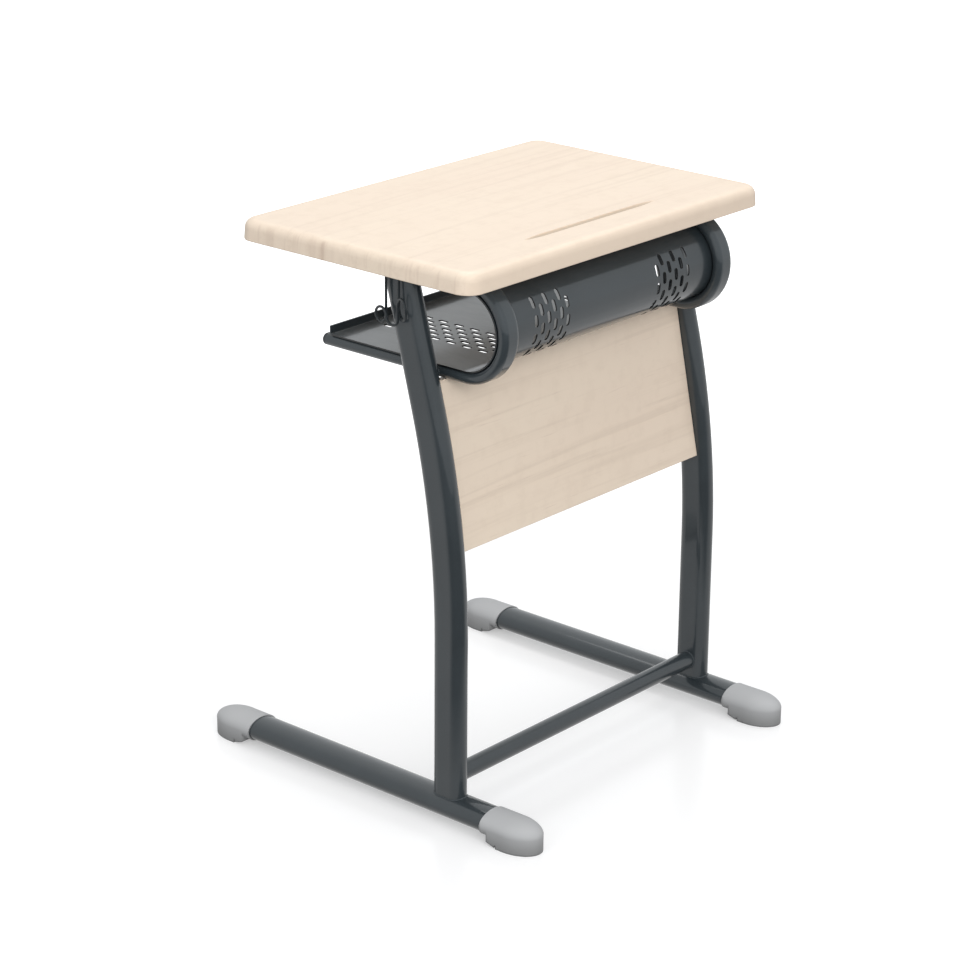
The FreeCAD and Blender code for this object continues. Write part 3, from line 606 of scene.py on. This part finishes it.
def makeTabWeld(mesh, tab, side):
    # Along the leg, on the tab's face towards the user
    corners = [vertex.co for vertex in nodes[tab].data.vertices]
    reach = max(side * corner.x for corner in corners)
    end = [corner for corner in corners if side * corner.x > reach - bead["tabEdge"]]
    low = min(end, key=lambda corner: corner.z + corner.y)
    high = min((corner for corner in end if corner.z > low.z + bead["tabRise"]), key=lambda corner: corner.y)
    addBead(mesh, [low, high], closed=False)


def makeHookWeld(mesh):
    x, place, half, radius = bead["hook"]
    for way in (-1, 1):
        route = []
        for index in range(bead["hookPoints"]):
            angle = 2 * math.pi * index / bead["hookPoints"]
            y = place + way * half + radius * math.sin(angle)
            route.append((x + radius * math.cos(angle), y, bead["legTop"][1]))
        addBead(mesh, route)


def makeWelds(material):
    for side, word in ((-1, "left"), (1, "right")):
        mesh = bmesh.new()
        makeFootWeld(mesh, side)
        makeRingWeld(mesh, side * bead["spacerEnds"][0], bead["bar"], side)
        finishPiece("foot_weld_" + word, mesh, material)
        mesh = bmesh.new()
        makeTopWeld(mesh, side)
        for x in bead["spacerEnds"]:
            makeRingWeld(mesh, side * x, bead["spacer"])
        for level in ("lower", "upper"):
            makeTabWeld(mesh, "panel_tab_%s_%s" % (level, word), side)
        if side > 0:
            makeHookWeld(mesh)
        finishPiece("top_weld_" + word, mesh, material)


makeWelds(makeCoatFinish("weld"))
print("welds laid")


# Screws with a cross recess

screw = {
    "segments": 32,
    "headRadius": 0.0042,
    "headTall": 0.0025,
    "headProfile": ((1.0, 1.0), (1.0, 0.5), (0.93, 0.26), (0.8, 0.1), (0.62, 0.0)),
    "shankRadius": 0.002,
    "faceDepth": 0.00005,
    "recessReach": 0.0021,
    "recessCore": 0.0007,
    "recessSharp": 6,
    "recess": ((1.0, 1.0, 0.0), (0.94, 1.0, 0.0002), (0.62, 0.7, 0.0014)),    # reach, core, depth
    "headWay": {
        "leg_plate_screws": (0.0, 0.0, -1.0),
        "tray_frame_screws": (0.0, 0.0, -1.0),
        "panel_screws": (0.0, -0.979223, -0.202787),
    },
    "zinc": colour(150, 152, 155),
    "yellowed": colour(185, 184, 176),
    "cloud": (300.0, 3.0, 0.5),
    "cloudAmount": 0.5,
    "roughness": 0.3,
    "cloudRoughness": 0.15,
}


def makeScrewFinish():
    finish = newFinish("zincScrew")
    cloud = finish.noise(screw["cloud"])
    return finish.done({
        "Base Color": finish.blend(cloud * screw["cloudAmount"], screw["zinc"], screw["yellowed"]),
        "Metallic": 1.0,
        "Roughness": cloud * screw["cloudRoughness"] + screw["roughness"],
    })


def islands(mesh):
    # Groups of joined vertices, one for each screw of a node
    work = bmesh.new()
    work.from_mesh(mesh)
    left = set(work.verts)
    for start in work.verts:
        if start not in left:
            continue
        left.remove(start)
        group, queue = [], [start]
        while queue:
            vertex = queue.pop()
            group.append(vertex.co.copy())
            for link in vertex.link_edges:
                other = link.other_vert(vertex)
                if other in left:
                    left.remove(other)
                    queue.append(other)
        yield group
    work.free()


def screwRings(shankEnd):
    # Radius and height of each ring's points, from the shank's end over the head into the recess
    wide, tall, segments = screw["headRadius"], screw["headTall"], screw["segments"]
    outside = [(screw["shankRadius"], shankEnd), (screw["shankRadius"], -tall)]
    outside += [(wide * across, -tall * down) for across, down in screw["headProfile"]]
    rings = [[row] * segments for row in outside]
    for share, coreShare, depth in screw["recess"]:
        core = screw["recessCore"] * coreShare
        ring = []
        for index in range(segments):
            lobe = math.cos(4 * math.pi * index / segments) ** screw["recessSharp"]
            ring.append((core + (screw["recessReach"] - core) * lobe * share, -depth))
        rings.append(ring)
    return rings


def addScrew(mesh, points, way):
    depths = [point.dot(way) for point in points]
    top = max(depths)
    face = [point for point, depth in zip(points, depths) if depth > top - screw["faceDepth"]]
    centre = sum(face, Vector()) / len(face)
    across = way.orthogonal().normalized()
    over = way.cross(across)
    built = []
    for ring in screwRings(min(depths) - top):
        built.append([])
        for index, (radius, height) in enumerate(ring):
            angle = 2 * math.pi * index / screw["segments"]
            spoke = across * math.cos(angle) + over * math.sin(angle)
            built[-1].append(mesh.verts.new(centre + spoke * radius + way * height))
    joinRings(mesh, built)
    mesh.faces.new(built[0])
    mesh.faces.new(built[-1])


def makeScrews(name, material):
    mesh = bmesh.new()
    way = Vector(screw["headWay"][name]).normalized()
    for points in islands(nodes[name].data):
        addScrew(mesh, points, way)
    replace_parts(finishPiece("cross_" + name, mesh, material), name)


screwMaterial = makeScrewFinish()
for screwNode in screw["headWay"]:
    makeScrews(screwNode, screwMaterial)
print("screws turned in")


# Floor, backdrop and lights

studio = {
    "floorHalf": 6.0,
    "seenTone": 0.75,
    "bounceTone": 0.34,
    "floorRoughness": 0.22,
    "nearLift": 0.38,
    "farLift": 0.6,
    "liftSpan": (0.5, 2.2),
    "darkCard": 0.06,
    "brightCard": 0.85,
    "darkWay": (0.6, 0.8, 0.0),
    "darkFacing": (0.35, 0.75),
    "darkSpan": (0.42, 0.75),
    "cardShare": 0.8,
    "worldLight": (0.97, 0.98, 1.0, 1),
    "lightStrength": 0.5,
    "worldCard": (0.95, 0.98, 1.0, 1),
    "cardStrength": 0.86,
    "key": {"place": (2.2, 3.4, 2.2), "aim": (0, 0, 0.4), "size": (2.8, 2.2), "power": 90},
    "fill": {"place": (3.6, 0.2, 1.7), "aim": (0, 0, 0.4), "size": (2.0, 2.2), "power": 13},
    "top": {"place": (-0.6, -0.4, 3.6), "aim": (0, 0, 0.5), "size": (3.0, 3.0), "power": 50},
}


def makeFloorFinish():
    # The camera sees an even white. Glossy steel sees a bright card that is dark towards the camera.
    finish = newFinish("studioFloor")
    place = finish.here()
    reach = finish.vector("LENGTH", place, output="Value")
    cameraRay = finish.node("ShaderNodeLightPath", {}, {}, "Is Camera Ray")
    lift = studio["nearLift"] + finish.ramp(reach, *studio["liftSpan"]) * studio["farLift"]
    floorTone = cameraRay * (studio["seenTone"] - studio["bounceTone"]) + studio["bounceTone"]
    matt = finish.node("ShaderNodeBsdfPrincipled", {}, {
        "Base Color": finish.grey(floorTone),
        "Roughness": studio["floorRoughness"],
        "Emission Color": finish.grey(cameraRay * lift),
        "Emission Strength": 1.0,
    })
    side = finish.dot(finish.vector("NORMALIZE", place), studio["darkWay"])
    dark = finish.ramp(side, *studio["darkFacing"]) * finish.ramp(reach, *studio["darkSpan"])
    cardTone = dark * (studio["darkCard"] - studio["brightCard"]) + studio["brightCard"]
    card = finish.node("ShaderNodeEmission", {}, {"Color": finish.grey(cardTone)})
    glossyRay = finish.node("ShaderNodeLightPath", {}, {}, "Is Glossy Ray")
    mixed = finish.node("ShaderNodeMixShader", {}, {0: glossyRay * studio["cardShare"], 1: matt, 2: card})
    finish.node("ShaderNodeOutputMaterial", {}, {"Surface": mixed})
    return finish.owner


def makeFloor():
    mesh = bpy.data.meshes.new("floor")
    half = studio["floorHalf"]
    corners = [(-half, -half, 0), (half, -half, 0), (half, half, 0), (-half, half, 0)]
    mesh.from_pydata(corners, [], [(0, 1, 2, 3)])
    floor = bpy.data.objects.new("floor", mesh)
    bpy.context.collection.objects.link(floor)
    mesh.materials.append(makeFloorFinish())


def makeWorld():
    world = bpy.data.worlds.new("studio")
    bpy.context.scene.world = world
    sky = Finish(world)
    cameraRay = sky.node("ShaderNodeLightPath", {}, {}, "Is Camera Ray")
    glossyRay = sky.node("ShaderNodeLightPath", {}, {}, "Is Glossy Ray")
    clearRay = sky.node("ShaderNodeLightPath", {}, {}, "Is Transmission Ray")
    seen = (cameraRay + clearRay).clipped()
    backdrop = "ShaderNodeBackground"
    lit = sky.node(backdrop, {}, {"Color": studio["worldLight"], "Strength": studio["lightStrength"]})
    card = sky.node(backdrop, {}, {"Color": studio["worldCard"], "Strength": studio["cardStrength"]})
    white = sky.node(backdrop, {}, {"Color": (1, 1, 1, 1), "Strength": 1.0})
    mirrored = sky.node("ShaderNodeMixShader", {}, {0: glossyRay, 1: lit, 2: card})
    mixed = sky.node("ShaderNodeMixShader", {}, {0: seen, 1: mirrored, 2: white})
    sky.node("ShaderNodeOutputWorld", {}, {"Surface": mixed})


def addSoftbox(name):
    values = studio[name]
    data = bpy.data.lights.new(name + "Softbox", "AREA")
    data.shape = "RECTANGLE"
    data.size, data.size_y = values["size"]
    data.energy = values["power"]
    lamp = bpy.data.objects.new(name + "Softbox", data)
    aim = Vector(values["aim"]) - Vector(values["place"])
    lamp.location = values["place"]
    lamp.rotation_mode = "QUATERNION"
    lamp.rotation_quaternion = aim.to_track_quat("-Z", "Y")
    lamp.visible_glossy = name == "top"
    bpy.context.collection.objects.link(lamp)


makeFloor()
makeWorld()
for lampName in ("key", "fill", "top"):
    addSoftbox(lampName)
bpy.context.scene.view_settings.view_transform = "Standard"
print("studio lit")
